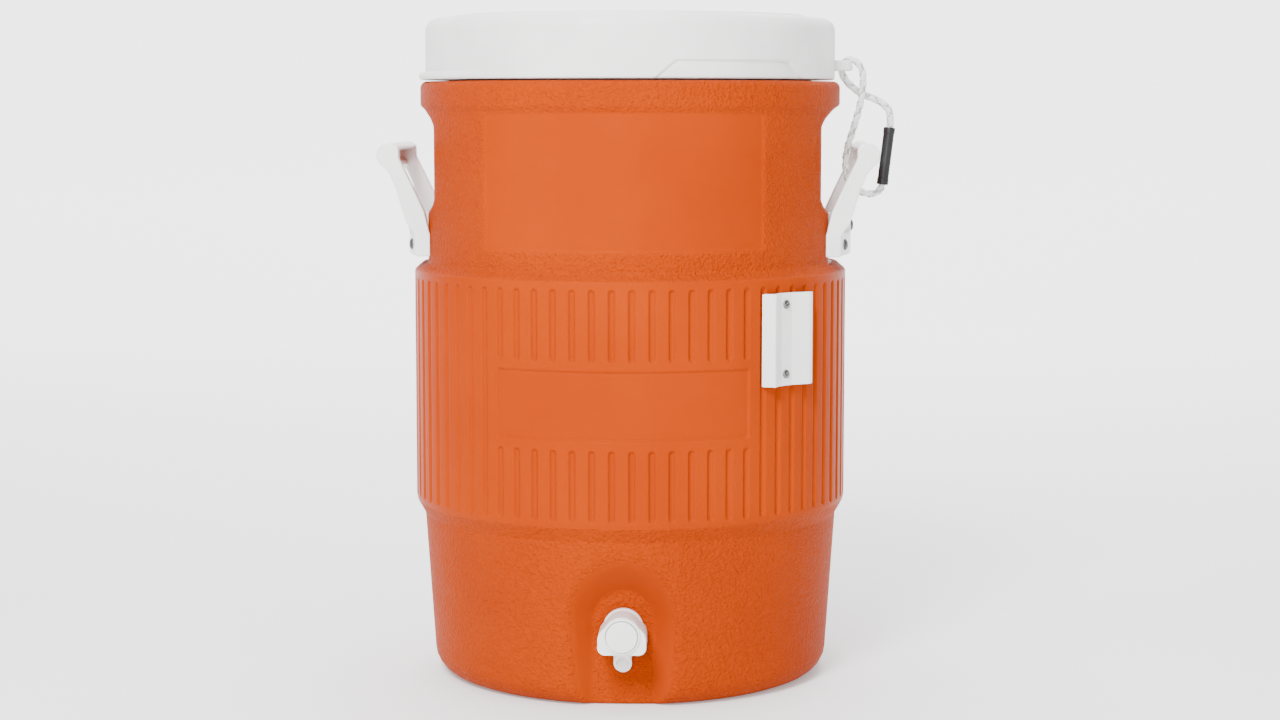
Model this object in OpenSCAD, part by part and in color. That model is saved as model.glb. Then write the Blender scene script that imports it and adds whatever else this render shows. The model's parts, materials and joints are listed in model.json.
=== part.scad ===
// Insulated drink cooler with a push-button spigot, about 19 litres.
// Frame: origin at the centre of the base, +Z up, the spigot faces -Y, the handles are at +X and -X.
// All sizes are in millimetres.

/* [Body] */
// Radius of the body at the lower edge
base_r = 150.5; // [149.5:0.5:151.5]
// Radius of the body just under the belt
waist_r = 157.4; // [157:0.2:158]
// Radius of the fluted belt
belt_r = 164; // [163.8:0.1:164.4]
// Radius of the body above the belt
upper_r = 157; // [156.5:0.1:157.4]
// Radius of the rim
rim_r = 158.8; // [158.4:0.1:159.2]
// Height of the body from the base to the top of the rim
rim_z = 449.3; // [448:0.1:449.5]
// Thickness of the outer wall
wall = 3; // [2.6:0.1:3.2]

/* [Belt] */
// Number of flute positions round the whole belt
flute_count = 72; // [72:1:72]
// Radius of the cutter that makes a flute
flute_r = 2.6; // [2.2:0.1:2.8]
// Half the angle that the label panel covers, in degrees
label_half_angle = 33.25; // [32.8:0.05:34]

/* [Tank] */
// Inner radius of the tank at its floor
tank_r_low = 125; // [124:0.5:126]
// Inner radius of the tank at its mouth
tank_r_high = 128; // [127.5:0.5:128.5]
// Height of the tank floor above the base
tank_floor_z = 34; // [32:0.5:34]

/* [Lid] */
// Radius of the lid
lid_r = 154.8; // [154.5:0.1:155.2]
// Height of the lid above the base when it is closed
lid_top_z = 498.3; // [497:0.1:499]
// Depth of the plug that goes down into the mouth
plug_h = 26; // [22:1:28]

/* [Spigot] */
// Height of the spigot's axis above the base
spigot_z = 57.1; // [56.1:0.5:58.1]
// Radius of the push button
button_r = 11.25; // [11:0.05:11.5]
// Travel of the push button
button_travel = 5; // [3:0.5:5]
// Inner radius of the nozzle
nozzle_bore_r = 4.6; // [4:0.1:4.8]
// Outer radius of the nozzle
nozzle_r = 6.6; // [6.2:0.1:6.8]

/* [Handles] */
// Half the width of a handle
handle_half_w = 57; // [54:0.5:58]
// Thickness of a handle's arm along its width
arm_w = 9; // [8:0.5:10]

/* [Cup bracket] */
// Direction that the bracket faces, in degrees from the front towards +X
bracket_angle = 45.5; // [44:0.5:47]
// Height of the bracket's lower edge
bracket_z = 231.3; // [229.3:0.5:232.3]
// Height of the bracket itself
bracket_h = 66.7; // [65.2:0.5:67.7]

/* [Tether] */
// Diameter of the rope
rope_d = 6; // [5:0.2:6]

/* [Hidden] */
$fn = 96;

eps = 0.01;
cut = 40;               // how far a cutter reaches past the surface it cuts
gap = 0.1;              // room between pieces that sit in each other
front = -90;            // direction of the spigot, as an angle from +X

// Body heights
base_corner = 19;
belt_low_z = 122;
belt_full_z = 134;
belt_top_z = 308;
shoulder_z = 314;
rim_low_z = 431;
rim_corner = 5;
rim_inner_r = 140;

// Front panel, label panel and flutes
panel_half_angle = 39.5;
panel_low_z = 328.7;
panel_high_z = 425.5;
panel_depth = 1;
label_low_z = 195.8;
label_high_z = 245;
label_depth = 1.2;
flute_depth = 2;
flute_low_z = 139;
flute_high_z = 302;
flute_split_low_z = 188.5;
flute_split_high_z = 252;

// Handle pockets: flat pads for the feet and, above them, flat hand pockets
pocket_half_w = 75;
pocket_x = 143;
pad_x = 149.6;
ledge_z = 313.5;
pad_high_z = 351.5;
pocket_low_z = 361.5;
pocket_high_z = 416.5;

// Spigot pocket: a flat floor with walls that slope out to the surface
spigot_floor_y = -134;
spigot_floor_r = 21.8;
spigot_floor_z = 61.3;
spigot_wall_slope = 1.208;
spigot_wall_growth = 1.568;
spigot_cut_depth = 26;

// Tank
tank_wall = 3;
tank_corner = 12;
tank_flange_r = 139.8;
tank_boss_y = -122;
tank_boss_r = 18;

// Spigot pieces, by their places along Y
shank_r = 9.5;
shank_hole_r = 9.8;
shank_end_y = -112;
seat_bore_r = 5;
chamber_r = 6.2;
collar_r = 14.7;
collar_y = -136;
collar_t = 4;
body_back_y = -140;
chamber_front_y = -156.5;
body_front_y = -168;
bonnet_front_y = -170;
button_back_y = -166;
closed_spring = 2.5;
spring_seat_y = button_back_y + button_travel + closed_spring;
button_front_y = -171.5;
stem_r = 2;
seal_r = 7.5;
seal_t = 3;
seal_gap = 0.2;
nozzle_y = -150;
nozzle_low_z = 25.5;
nozzle_cut_angle = 45;
washer_t = 2;
nut_t = 7;
nut_r = 16.5;
spring_r = 5.5;
spring_wire_r = 0.45;
spring_turns = 3;

// Lid heights
lid_low_z = 450.5;
lid_wall = 3.5;
lid_corner = 17;
lid_step_z = 496.3;
lid_disc_r = 133.4;
pan_wall = 2.5;
plug_r = 124.4;
gasket_r_in = 127;
gasket_r_out = 137;
tab_r = 146.2;
tab_x = -13.6;
tab_low_z = 450.2;
tab_high_z = 456.6;
lug_low_z = 457.3;
lug_high_z = 465.3;
lug_x = 161.6;
lug_r = 7;
lug_hole_x = 160.1;
lug_groove_drop = 0.8;
lug_hole_r = 3.8;
skirt_step_depth = 1.5;
skirt_step_high_z = 464;
skirt_step_from = 10;
skirt_step_to = 55;

// Handle side outline, in X and Z
arm_outer = [[157.6, 319.5], [157.6, 335], [164.5, 344], [168, 355.5], [172.6, 371], [177, 381],
             [181.3, 386.6]];
arm_inner = [[169.5, 392], [158, 368], [151, 352.7], [148, 340], [144, 319.5]];
grip_x = 177.2;
grip_z = 394.6;
grip_r = 9.2;
grip_hollow_r = 5.8;
plate_out_r = 167.8;
plate_low_z = 320.5;
plate_high_z = 337;
plate_tab_r = 13;
plate_tab_z = 337.5;
handle_screw_r = 2;
handle_screw_head_r = 4.5;
handle_screw_l = 22;
handle_screw_spots = [[-16, 328.5], [16, 328.5], [0, 341]];

// Bracket outline: distance along the belt and distance out from it
bracket_web_n = 2.9;
bracket_outline = [
    [-24.5, -1.2], [-19, 7], [-9, bracket_web_n], [2, bracket_web_n], [16.5, 7], [20.8, 6], [22.2, 2],
    [19.8, 2], [16.3, 4.2], [3, 0.2], [-9.5, 0.2], [-18, 4], [-21.8, -1.1]
];
bracket_screw_u = -4;
bracket_screw_l = 6;
bracket_screw_z = [239.6, 289.8];
bracket_screw_r = 2;
bracket_screw_head_r = 3.2;

// Centre line of the tether rope, from the top of the sleeve, through the lug, round the grip
rope_route = [
    [196.4, 0, 412], [197.2, 0, 420], [195.8, 1, 428], [189.8, 3, 434], [182, 4, 437.5],
    [174.5, 4, 441], [167.5, 3, 446], [162.2, 1, 452], [159.8, 0, 459], [161.8, 0, 466],
    [167.3, -1, 469], [173.3, -3, 466.5], [176.5, -4, 459.5], [176.4, -4, 449], [175, -4, 437],
    [172, -4, 424], [168.3, -3, 411], [164.5, -2, 398], [163.6, -1, 386], [165.5, 0, 376],
    [170.8, 0, 369], [177.8, 0, 365.2], [185.3, 0, 364.8], [190.4, 0, 368.5], [191.9, 0, 375]
];
rope_steps = 3;
rope_sides = 10;
sleeve_low = [191.6, 0, 371.6];
sleeve_high = [196.7, 0, 414.8];
sleeve_r = 4.4;

// Points of a quarter circle from one angle to another
function arc(cx, cy, r, from, to, steps = 8) =
    [for (i = [0:steps]) let (a = from + (to - from) * i / steps) [cx + r * cos(a), cy + r * sin(a)]];

// A smooth curve through a list of points
function spline_point(p, i, t) =
    let (n = len(p) - 1,
         a = p[max(i - 1, 0)], b = p[i], c = p[min(i + 1, n)], d = p[min(i + 2, n)])
    0.5 * (2 * b + (c - a) * t + (2 * a - 5 * b + 4 * c - d) * t * t
        + (3 * b - a - 3 * c + d) * t * t * t);
function spline(p, steps) =
    concat([for (i = [0:len(p) - 2]) for (s = [0:steps - 1]) spline_point(p, i, s / steps)],
           [p[len(p) - 1]]);

// A round tube swept along a list of points
function unit(v) = v / norm(v);
function tangent(p, i) = unit(p[min(i + 1, len(p) - 1)] - p[max(i - 1, 0)]);
function ring(p, i, r, sides, side_axis) =
    let (t = tangent(p, i), u = unit(cross(side_axis, t)), v = cross(t, u))
    [for (k = [0:sides - 1]) let (a = 360 * k / sides) p[i] + r * (cos(a) * u + sin(a) * v)];
module tube(p, r, sides, side_axis) {
    n = len(p);
    points = [for (i = [0:n - 1]) each ring(p, i, r, sides, side_axis)];
    walls = [for (i = [0:n - 2]) for (k = [0:sides - 1])
        let (a = i * sides + k, b = i * sides + (k + 1) % sides)
        each [[a, b + sides, b], [a, a + sides, b + sides]]];
    start = [for (k = [0:sides - 1]) k];
    end = [for (k = [sides - 1:-1:0]) (n - 1) * sides + k];
    polyhedron(points, concat(walls, [start, end]), convexity = 6);
}

// A ring sector: an outline in radius and height, turned through an angle about Z
module sector(outline, middle, half_angle) {
    rotate([0, 0, middle - half_angle])
        rotate_extrude(angle = 2 * half_angle) polygon(outline);
}

function box_outline(r0, r1, z0, z1) = [[r0, z0], [r1, z0], [r1, z1], [r0, z1]];

// A cylinder along Y from y0 to y1, on the spigot's axis
module along_y(r, y0, y1, z = spigot_z) {
    translate([0, y0, z]) rotate([-90, 0, 0]) cylinder(r = r, h = y1 - y0);
}

/* Body */

// Outline of the body at a depth t under its surface
function body_outline(t) =
    let (belt_in = t > 0 ? flute_depth : 0, corner = base_corner - t)
    concat(
        [[0, t]],
        arc(base_r - base_corner, base_corner, corner, -90, 0),
        [[waist_r - t, belt_low_z + t], [waist_r + 5.6 - t - belt_in, belt_low_z + 9 + t],
         [belt_r - t - belt_in, belt_full_z + t], [belt_r - t - belt_in, belt_top_z - t],
         [upper_r - t, shoulder_z - t], [upper_r - t, rim_low_z - 4],
         [rim_r - t, rim_low_z + t / 2]],
        arc(rim_r - rim_corner, rim_z - rim_corner, rim_corner - t / 2, 0, 90),
        [[0, rim_z - t]]);

module handle_pocket_cut(t) {
    outline = [
        [rim_r + cut, ledge_z - t], [pad_x - t, ledge_z - t], [pad_x - t, pad_high_z],
        [pocket_x + 1.8 - t, pocket_low_z - 4], [pocket_x - t, pocket_low_z],
        [pocket_x - t, pocket_high_z], [pocket_x + 3.6 - t, pocket_high_z + 5.8 + t / 2],
        [pocket_x + 9.9 - t, pocket_high_z + 11.9 + t / 2], [rim_r + 1 - t, rim_low_z + 1 + t / 2],
        [rim_r + cut, rim_low_z + 1 + t / 2]
    ];
    for (side = [0, 180]) rotate([0, 0, side])
        across(-pocket_half_w, pocket_half_w) polygon(outline);
}

module spigot_pocket_cut(t) {
    low_r = spigot_floor_r + (spigot_wall_growth - spigot_wall_slope) * t;
    high_r = low_r + spigot_cut_depth * spigot_wall_slope;
    floor_y = spigot_floor_y + t;
    top_y = floor_y - spigot_cut_depth;
    translate([0, floor_y, spigot_floor_z]) rotate([90, 0, 0]) rotate_extrude(angle = 180)
        polygon([[0, 0], [low_r, 0], [high_r, spigot_cut_depth], [0, spigot_cut_depth]]);
    translate([0, 0, -cut]) linear_extrude(spigot_floor_z + cut)
        polygon([[-low_r, floor_y], [low_r, floor_y], [high_r, top_y], [-high_r, top_y]]);
}

// The body's solid form at a depth t under its surface
module body_form(t) {
    difference() {
        rotate_extrude() polygon(body_outline(t));
        handle_pocket_cut(t);
        spigot_pocket_cut(t);
    }
}

function flute_angle(i) = 360 * (i + 0.5) / flute_count;
function beside_label(i) =
    let (a = flute_angle(i)) min(a, 360 - a) < label_half_angle;

module flute(angle, z0, z1) {
    rotate([0, 0, front + angle]) translate([belt_r - flute_depth + flute_r, 0, z0])
        cylinder(r = flute_r, h = z1 - z0, $fn = 24);
}

module flutes() {
    for (i = [0:flute_count - 1]) {
        if (beside_label(i)) {
            flute(flute_angle(i), flute_low_z, flute_split_low_z);
            flute(flute_angle(i), flute_split_high_z, flute_high_z);
        } else {
            flute(flute_angle(i), flute_low_z, flute_high_z);
        }
    }
}

module outer_shell() {
    color("darkorange") difference() {
        body_form(0);
        body_form(wall);
        translate([0, 0, rim_z - wall - 1]) cylinder(r = rim_inner_r, h = cut);
        sector(box_outline(upper_r - panel_depth, rim_r + cut, panel_low_z, panel_high_z),
               front, panel_half_angle);
        sector(box_outline(belt_r - label_depth, belt_r + cut, label_low_z, label_high_z),
               front, label_half_angle);
        flutes();
        along_y(shank_hole_r, spigot_floor_y - cut, spigot_floor_y + cut);
        wall_screw_holes();
    }
}

// Pilot holes for the screws of both handles and of the bracket
module wall_screw_holes() {
    for (side = [0, 180]) rotate([0, 0, side]) handle_screw_places()
        translate([0, 0, -handle_screw_l - 1]) cylinder(r = handle_screw_r, h = cut);
    for (z = bracket_screw_z) at_bracket_screw(z)
        translate([0, 0, -cut / 2]) cylinder(r = bracket_screw_r, h = cut);
}

/* Tank */

function tank_outline(t) =
    let (r0 = tank_r_low + t, z0 = tank_floor_z - t, corner = tank_corner + t)
    concat([[0, z0]], arc(r0 - corner, z0 + corner, corner, -90, 0, 6));

module tank_solid() {
    rotate_extrude() polygon(concat(tank_outline(tank_wall),
        [[tank_r_high + tank_wall, rim_z - tank_wall], [tank_flange_r, rim_z - tank_wall],
         [tank_flange_r, rim_z], [0, rim_z]]));
}

module tank_space() {
    rotate_extrude() polygon(concat(tank_outline(0),
        [[tank_r_high, rim_z], [tank_r_high, rim_z + cut], [0, rim_z + cut]]));
}

module tank_liner() {
    color("whitesmoke") difference() {
        union() {
            difference() {
                tank_solid();
                tank_space();
            }
            along_y(tank_boss_r, -tank_r_low - 1, tank_boss_y);
        }
        along_y(shank_hole_r, -tank_r_low - cut, tank_boss_y + 1);
    }
}

module foam_insulation() {
    color("khaki") difference() {
        body_form(wall + gap);
        tank_solid();
        translate([0, 0, rim_z - tank_wall - gap]) cylinder(r = upper_r + cut, h = cut);
        along_y(shank_hole_r, spigot_floor_y - cut, spigot_floor_y + cut);
        wall_screw_holes();
    }
}

/* Handles */

// Side view of an arm, with the round end of the grip
module arm_outline() {
    polygon(concat(arm_outer, [[grip_x + 3, grip_z], [grip_x - 3, grip_z + 3]], arm_inner));
    translate([grip_x, grip_z]) circle(r = grip_r);
}

// Cross section of the grip: a round bar, hollow towards the body
module grip_outline() {
    difference() {
        translate([grip_x, grip_z]) circle(r = grip_r - 0.2);
        translate([grip_x, grip_z]) circle(r = grip_hollow_r);
        translate([grip_x - 20, grip_z - 20]) square([20, 22]);
    }
}

// Front view of the foot plate, in Y and Z: a bar with a round tab for the upper screw
module foot_outline() {
    half_w = handle_half_w - 1;
    translate([-half_w, plate_low_z]) square([2 * half_w, plate_high_z - plate_low_z]);
    translate([0, plate_tab_z]) circle(r = plate_tab_r);
}

// The body's surface where the foot sits, with a small gap: round, with the flat pad
module foot_seat() {
    intersection() {
        cylinder(r = upper_r + gap, h = pad_high_z);
        translate([0, -2 * cut, 0]) cube([pad_x + gap, 4 * cut, pad_high_z]);
    }
}

// An outline in X and Z, extruded along Y from y0 to y1
module across(y0, y1) {
    translate([0, y1, 0]) rotate([90, 0, 0]) linear_extrude(y1 - y0) children();
}

// One handle, at +X: two leaning arms, a hollow grip and a foot plate seated on the body
module handle() {
    inner_half_w = handle_half_w - arm_w;
    difference() {
        union() {
            across(-handle_half_w, -inner_half_w) arm_outline();
            across(inner_half_w, handle_half_w) arm_outline();
            across(-inner_half_w - 1, inner_half_w + 1) grip_outline();
            intersection() {
                cylinder(r = plate_out_r, h = rim_z);
                translate([pocket_x - 2, 0, 0]) rotate([90, 0, 90])
                    linear_extrude(cut) foot_outline();
            }
        }
        foot_seat();
        handle_screw_places() translate([0, 0, -cut]) cylinder(r = handle_screw_r, h = 2 * cut);
    }
}

// Places of the three screws of one handle, each with +Z pointing out of the body
module handle_screw_places() {
    for (spot = handle_screw_spots)
        rotate([0, 0, spot[0]]) translate([plate_out_r, 0, spot[1]]) rotate([0, 90, 0]) children();
}

module handle_screws() {
    handle_screw_places() {
        translate([0, 0, gap]) cylinder(r1 = handle_screw_head_r, r2 = 3, h = 2);
        translate([0, 0, -handle_screw_l]) cylinder(r = handle_screw_r - gap,
                                                    h = handle_screw_l + 2 * gap);
    }
}

module right_handle() {
    color("white") handle();
}

module left_handle() {
    color("white") rotate([0, 0, 180]) handle();
}

module right_handle_screws() {
    color("dimgray") handle_screws();
}

module left_handle_screws() {
    color("dimgray") rotate([0, 0, 180]) handle_screws();
}

/* Cup dispenser bracket */

module at_bracket(z) {
    rotate([0, 0, front + bracket_angle]) translate([belt_r, 0, z]) children();
}

// Place of a bracket screw on the belt, with +Z pointing out of the body
module at_bracket_screw(z) {
    at_bracket(z) translate([0, bracket_screw_u, 0]) rotate([0, 90, 0]) children();
}

module cup_bracket() {
    color("white") difference() {
        at_bracket(bracket_z) linear_extrude(bracket_h)
            polygon([for (p = bracket_outline) [p[1], p[0]]]);
        for (z = bracket_screw_z) at_bracket_screw(z)
            translate([0, 0, -cut]) cylinder(r = bracket_screw_r, h = 2 * cut);
    }
}

module cup_bracket_screws() {
    color("silver") for (z = bracket_screw_z) at_bracket_screw(z) {
        translate([0, 0, bracket_web_n + gap])
            cylinder(r1 = bracket_screw_head_r, r2 = 2.2, h = 1.8);
        translate([0, 0, -bracket_screw_l])
            cylinder(r = bracket_screw_r - gap, h = bracket_screw_l + bracket_web_n + 2 * gap);
    }
}

/* Lid */

module lid_tab() {
    translate([tab_x, 0, tab_low_z]) cylinder(r = tab_r, h = tab_high_z - tab_low_z);
}

module lid_lug() {
    h = lug_high_z - lug_low_z;
    translate([lug_x, 0, lug_low_z]) cylinder(r = lug_r, h = h);
    translate([lid_r - lid_wall, -lug_r, lug_low_z])
        cube([lug_x - lid_r + lid_wall, 2 * lug_r, h]);
}

function lid_outline(t) =
    concat([[0, lid_low_z - t], [lid_r - t, lid_low_z - t]],
        arc(lid_r - lid_corner, lid_step_z - lid_corner, lid_corner - t, 0, 90),
        [[lid_disc_r - t, lid_top_z - t], [0, lid_top_z - t]]);

module lid_space(t) {
    rotate_extrude() polygon(lid_outline(t));
}

module lid_shell() {
    color("white") difference() {
        union() {
            rotate_extrude() polygon(lid_outline(0));
            difference() {
                lid_tab();
                translate([0, 0, tab_low_z - 1]) cylinder(r = lid_r - 1, h = cut);
            }
            lid_lug();
        }
        lid_space(lid_wall);
        translate([lug_hole_x, 0, lug_low_z - 1]) cylinder(r = lug_hole_r, h = cut);
        translate([lug_hole_x, 0, lug_high_z - lug_groove_drop]) rotate([0, 90, 0])
            cylinder(r = lug_hole_r, h = cut);
        sector(box_outline(lid_r - skirt_step_depth, lid_r + cut / 2, lid_low_z - 1,
                           skirt_step_high_z),
               front + (skirt_step_from + skirt_step_to) / 2,
               (skirt_step_to - skirt_step_from) / 2);
    }
}

module lid_inner_pan() {
    plug_low_z = rim_z - plug_h;
    floor_z = lid_low_z + pan_wall;
    color("whitesmoke") rotate_extrude() polygon([
        [0, plug_low_z], [plug_r - 6, plug_low_z], [plug_r - 2, plug_low_z + 4],
        [plug_r, lid_low_z], [lid_r - lid_wall - gap, lid_low_z],
        [lid_r - lid_wall - gap, floor_z], [plug_r - pan_wall, floor_z],
        [plug_r - pan_wall - 2, plug_low_z + pan_wall + 3],
        [plug_r - pan_wall - 5, plug_low_z + pan_wall], [0, plug_low_z + pan_wall]
    ]);
}

module lid_foam() {
    floor_z = lid_low_z + pan_wall + gap;
    low_z = rim_z - plug_h + pan_wall + gap;
    color("khaki") rotate_extrude() polygon(concat(
        [[0, low_z], [plug_r - pan_wall - 6, low_z], [plug_r - pan_wall - 2.5, low_z + 4],
         [plug_r - pan_wall - gap, floor_z], [lid_r - lid_wall - gap, floor_z]],
        arc(lid_r - lid_corner, lid_step_z - lid_corner, lid_corner - lid_wall - gap, 0, 90),
        [[0, lid_step_z - lid_wall - gap]]));
}

module lid_gasket() {
    color("gainsboro") rotate_extrude()
        polygon(box_outline(gasket_r_in, gasket_r_out, rim_z + gap, lid_low_z));
}

/* Spigot */

// Front view of the spigot's head: a round crown over a wider square foot
module spigot_head_outline(r) {
    circle(r = r);
    translate([-17.5, -9]) square([35, 9]);
    translate([-12, -13.7]) square([24, 6]);
    for (side = [-1, 1]) {
        translate([side * 12, -8.2]) circle(r = 5.5);
        translate([side * 12, 0]) circle(r = 5.5);
    }
}

module spigot_body() {
    color("white") difference() {
        union() {
            along_y(shank_r, collar_y - 1, shank_end_y);
            along_y(collar_r, collar_y - collar_t, collar_y);
            translate([0, body_back_y + 1, spigot_z]) rotate([90, 0, 0])
                linear_extrude(body_back_y + 1 - body_front_y) spigot_head_outline(13.7);
            translate([0, nozzle_y, nozzle_low_z])
                cylinder(r = nozzle_r, h = spigot_z - nozzle_low_z);
        }
        // water way from the tank to the chamber, and down the nozzle
        along_y(seat_bore_r, shank_end_y - 3, shank_end_y + 1);
        along_y(chamber_r, chamber_front_y, shank_end_y - 3 + eps);
        translate([0, nozzle_y, 0]) cylinder(r = nozzle_bore_r, h = spigot_z);
        // stem hole, spring cup and the bonnet's seat
        along_y(stem_r + 0.3, spring_seat_y - 1, chamber_front_y + 1);
        along_y(button_r + gap, body_front_y - 1, spring_seat_y);
        // slanted mouth of the nozzle
        translate([0, nozzle_y - nozzle_r, nozzle_low_z + 13]) rotate([-nozzle_cut_angle, 0, 0])
            translate([-15, -30, -40]) cube([30, 30, 40]);
    }
}

module spigot_bonnet() {
    color("white") difference() {
        along_y(button_r + 2, bonnet_front_y, body_front_y);
        along_y(button_r + gap, bonnet_front_y - 1, body_front_y + 1);
    }
}

module push_button() {
    color("white") difference() {
        along_y(button_r, button_front_y, button_back_y);
        along_y(stem_r, button_back_y - 2.5, button_back_y + 1);
    }
}

module valve_stem() {
    color("white") along_y(stem_r, button_back_y - 2.5, shank_end_y + seal_gap + seal_t + 1);
}

module valve_seal() {
    color("black") difference() {
        along_y(seal_r, shank_end_y + seal_gap, shank_end_y + seal_gap + seal_t);
        along_y(stem_r, shank_end_y - 1, shank_end_y + cut);
    }
}

module button_spring() {
    steps = 16;
    y0 = spring_seat_y - spring_wire_r - 0.05;
    y1 = button_back_y + spring_wire_r + 0.05;
    route = [for (i = [0:steps * spring_turns]) let (a = 360 * i / steps)
        [spring_r * cos(a), y0 + (y1 - y0) * i / (steps * spring_turns),
         spigot_z + spring_r * sin(a)]];
    color("silver") tube(route, spring_wire_r, 8, [0, 1, 0]);
}

module outer_washer() {
    color("dimgray") difference() {
        along_y(collar_r - 0.7, collar_y, spigot_floor_y);
        along_y(shank_r + gap, collar_y - 1, spigot_floor_y + 1);
    }
}

module inner_washer() {
    color("dimgray") difference() {
        along_y(nut_r - 1.5, tank_boss_y, tank_boss_y + washer_t);
        along_y(shank_r + gap, tank_boss_y - 1, tank_boss_y + washer_t + 1);
    }
}

module spigot_nut() {
    color("white") difference() {
        translate([0, tank_boss_y + washer_t, spigot_z]) rotate([-90, 0, 0])
            cylinder(r = nut_r, h = nut_t, $fn = 6);
        along_y(shank_r + gap / 2, tank_boss_y, shank_end_y + cut);
    }
}

/* Tether */

module tether_rope() {
    color("whitesmoke") tube(spline(rope_route, rope_steps), rope_d / 2, rope_sides, [0, 1, 0]);
}

module tether_sleeve() {
    way = sleeve_high - sleeve_low;
    color("black") translate(sleeve_low) rotate([0, atan2(way[0], way[2]), 0]) difference() {
        cylinder(r = sleeve_r, h = norm(way));
        translate([0, 0, -1]) cylinder(r = rope_d / 2 + gap, h = norm(way) + 2);
    }
}

outer_shell();
foam_insulation();
tank_liner();
left_handle();
right_handle();
left_handle_screws();
right_handle_screws();
cup_bracket();
cup_bracket_screws();
lid_shell();
lid_foam();
lid_inner_pan();
lid_gasket();
spigot_body();
spigot_bonnet();
push_button();
valve_stem();
valve_seal();
button_spring();
outer_washer();
inner_washer();
spigot_nut();
tether_rope();
tether_sleeve();
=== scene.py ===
import json
import math
import bpy
import bmesh
import numpy as np
from mathutils import Vector, Matrix


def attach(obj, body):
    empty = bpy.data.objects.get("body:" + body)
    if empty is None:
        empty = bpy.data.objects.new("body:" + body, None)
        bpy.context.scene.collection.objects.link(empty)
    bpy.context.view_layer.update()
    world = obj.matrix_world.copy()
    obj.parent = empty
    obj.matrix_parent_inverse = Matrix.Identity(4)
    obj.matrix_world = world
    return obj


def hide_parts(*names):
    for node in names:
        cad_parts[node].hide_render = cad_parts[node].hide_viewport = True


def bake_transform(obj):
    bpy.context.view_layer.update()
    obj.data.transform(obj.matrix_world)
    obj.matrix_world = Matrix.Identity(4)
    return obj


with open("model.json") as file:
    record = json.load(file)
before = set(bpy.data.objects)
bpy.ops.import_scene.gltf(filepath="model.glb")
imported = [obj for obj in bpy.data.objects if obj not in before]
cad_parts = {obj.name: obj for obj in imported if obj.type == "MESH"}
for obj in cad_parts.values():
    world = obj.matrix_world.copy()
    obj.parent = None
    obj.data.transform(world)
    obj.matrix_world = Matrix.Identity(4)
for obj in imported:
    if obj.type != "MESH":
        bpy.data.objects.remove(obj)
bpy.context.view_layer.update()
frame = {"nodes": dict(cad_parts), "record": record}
MM = 0.001              # every size below is in millimetres and is scaled once, when a mesh is made


# ---------------------------------------------------------------- camera

CAMERA_TURN = 1.9       # degrees from the front towards +X
CAMERA_TILT = 5.94      # degrees below the horizon
CAMERA_AWAY = 1900.4    # from the cooler's axis, level
CAMERA_SIDE = 7.45      # to the right of the cooler's axis
CAMERA_HIGH = 434.6
CAMERA_LENS = 69.98


def make_camera():
    turn = math.radians(CAMERA_TURN)
    data = bpy.data.cameras.new("camera")
    data.lens = CAMERA_LENS
    data.sensor_width = 36
    data.clip_start = 0.05
    data.clip_end = 50
    camera = bpy.data.objects.new("camera", data)
    bpy.context.scene.collection.objects.link(camera)
    camera.location = (
        MM * (math.sin(turn) * CAMERA_AWAY + math.cos(turn) * CAMERA_SIDE),
        MM * (-math.cos(turn) * CAMERA_AWAY + math.sin(turn) * CAMERA_SIDE),
        MM * CAMERA_HIGH)
    camera.rotation_euler = (math.radians(90 - CAMERA_TILT), 0, turn)
    bpy.context.scene.camera = camera


make_camera()


# ---------------------------------------------------------------- mesh helpers

def smoothstep(low, high, x):
    """0 up to low, 1 from high on, with a smooth rise between them."""
    t = np.clip((x - low) / (high - low), 0, 1)
    return t * t * (3 - 2 * t)


def soft_min(a, b, k):
    """The lower of a and b, with the crease between them rounded over a size k."""
    h = np.clip(0.5 + 0.5 * (b - a) / k, 0, 1)
    return b * (1 - h) + a * h - k * h * (1 - h)


def soft_max(a, b, k):
    """The higher of a and b, rounded in the same way."""
    return -soft_min(-a, -b, k)


def make_object(name, points, faces, smooth=True):
    """A mesh object from points in millimetres."""
    mesh = bpy.data.meshes.new(name)
    mesh.from_pydata([tuple(MM * c for c in p) for p in points], [], faces)
    mesh.update()
    if smooth:
        mesh.polygons.foreach_set("use_smooth", [True] * len(mesh.polygons))
    obj = bpy.data.objects.new(name, mesh)
    bpy.context.scene.collection.objects.link(obj)
    return obj


def grid_faces(rows, cols, start=0, closed=True):
    """Quads between neighbouring rows of a grid of points, the columns going round."""
    faces = []
    for i in range(rows - 1):
        for k in range(cols if closed else cols - 1):
            a = start + i * cols + k
            b = start + i * cols + (k + 1) % cols
            faces.append((a, b, b + cols, a + cols))
    return faces


def fillet(corners, steps=5):
    """A polyline of (r, z, radius) corners, with each corner rounded by its radius."""
    out = []
    for i, (r, z, radius) in enumerate(corners):
        if radius == 0 or i in (0, len(corners) - 1):
            out.append((r, z))
            continue
        here = Vector((r, z))
        back = (Vector(corners[i - 1][:2]) - here)
        on = (Vector(corners[i + 1][:2]) - here)
        half = back.angle(on) / 2
        reach = min(radius / math.tan(half), back.length * 0.49, on.length * 0.49)
        radius = reach * math.tan(half)
        centre = here + (back.normalized() + on.normalized()).normalized() * (radius / math.sin(half))
        first = here + back.normalized() * reach - centre
        last = here + on.normalized() * reach - centre
        sweep = first.angle_signed(last)
        for s in range(steps + 1):
            turned = Matrix.Rotation(-sweep * s / steps, 2) @ first
            out.append(tuple(centre + turned))
    return out


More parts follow.
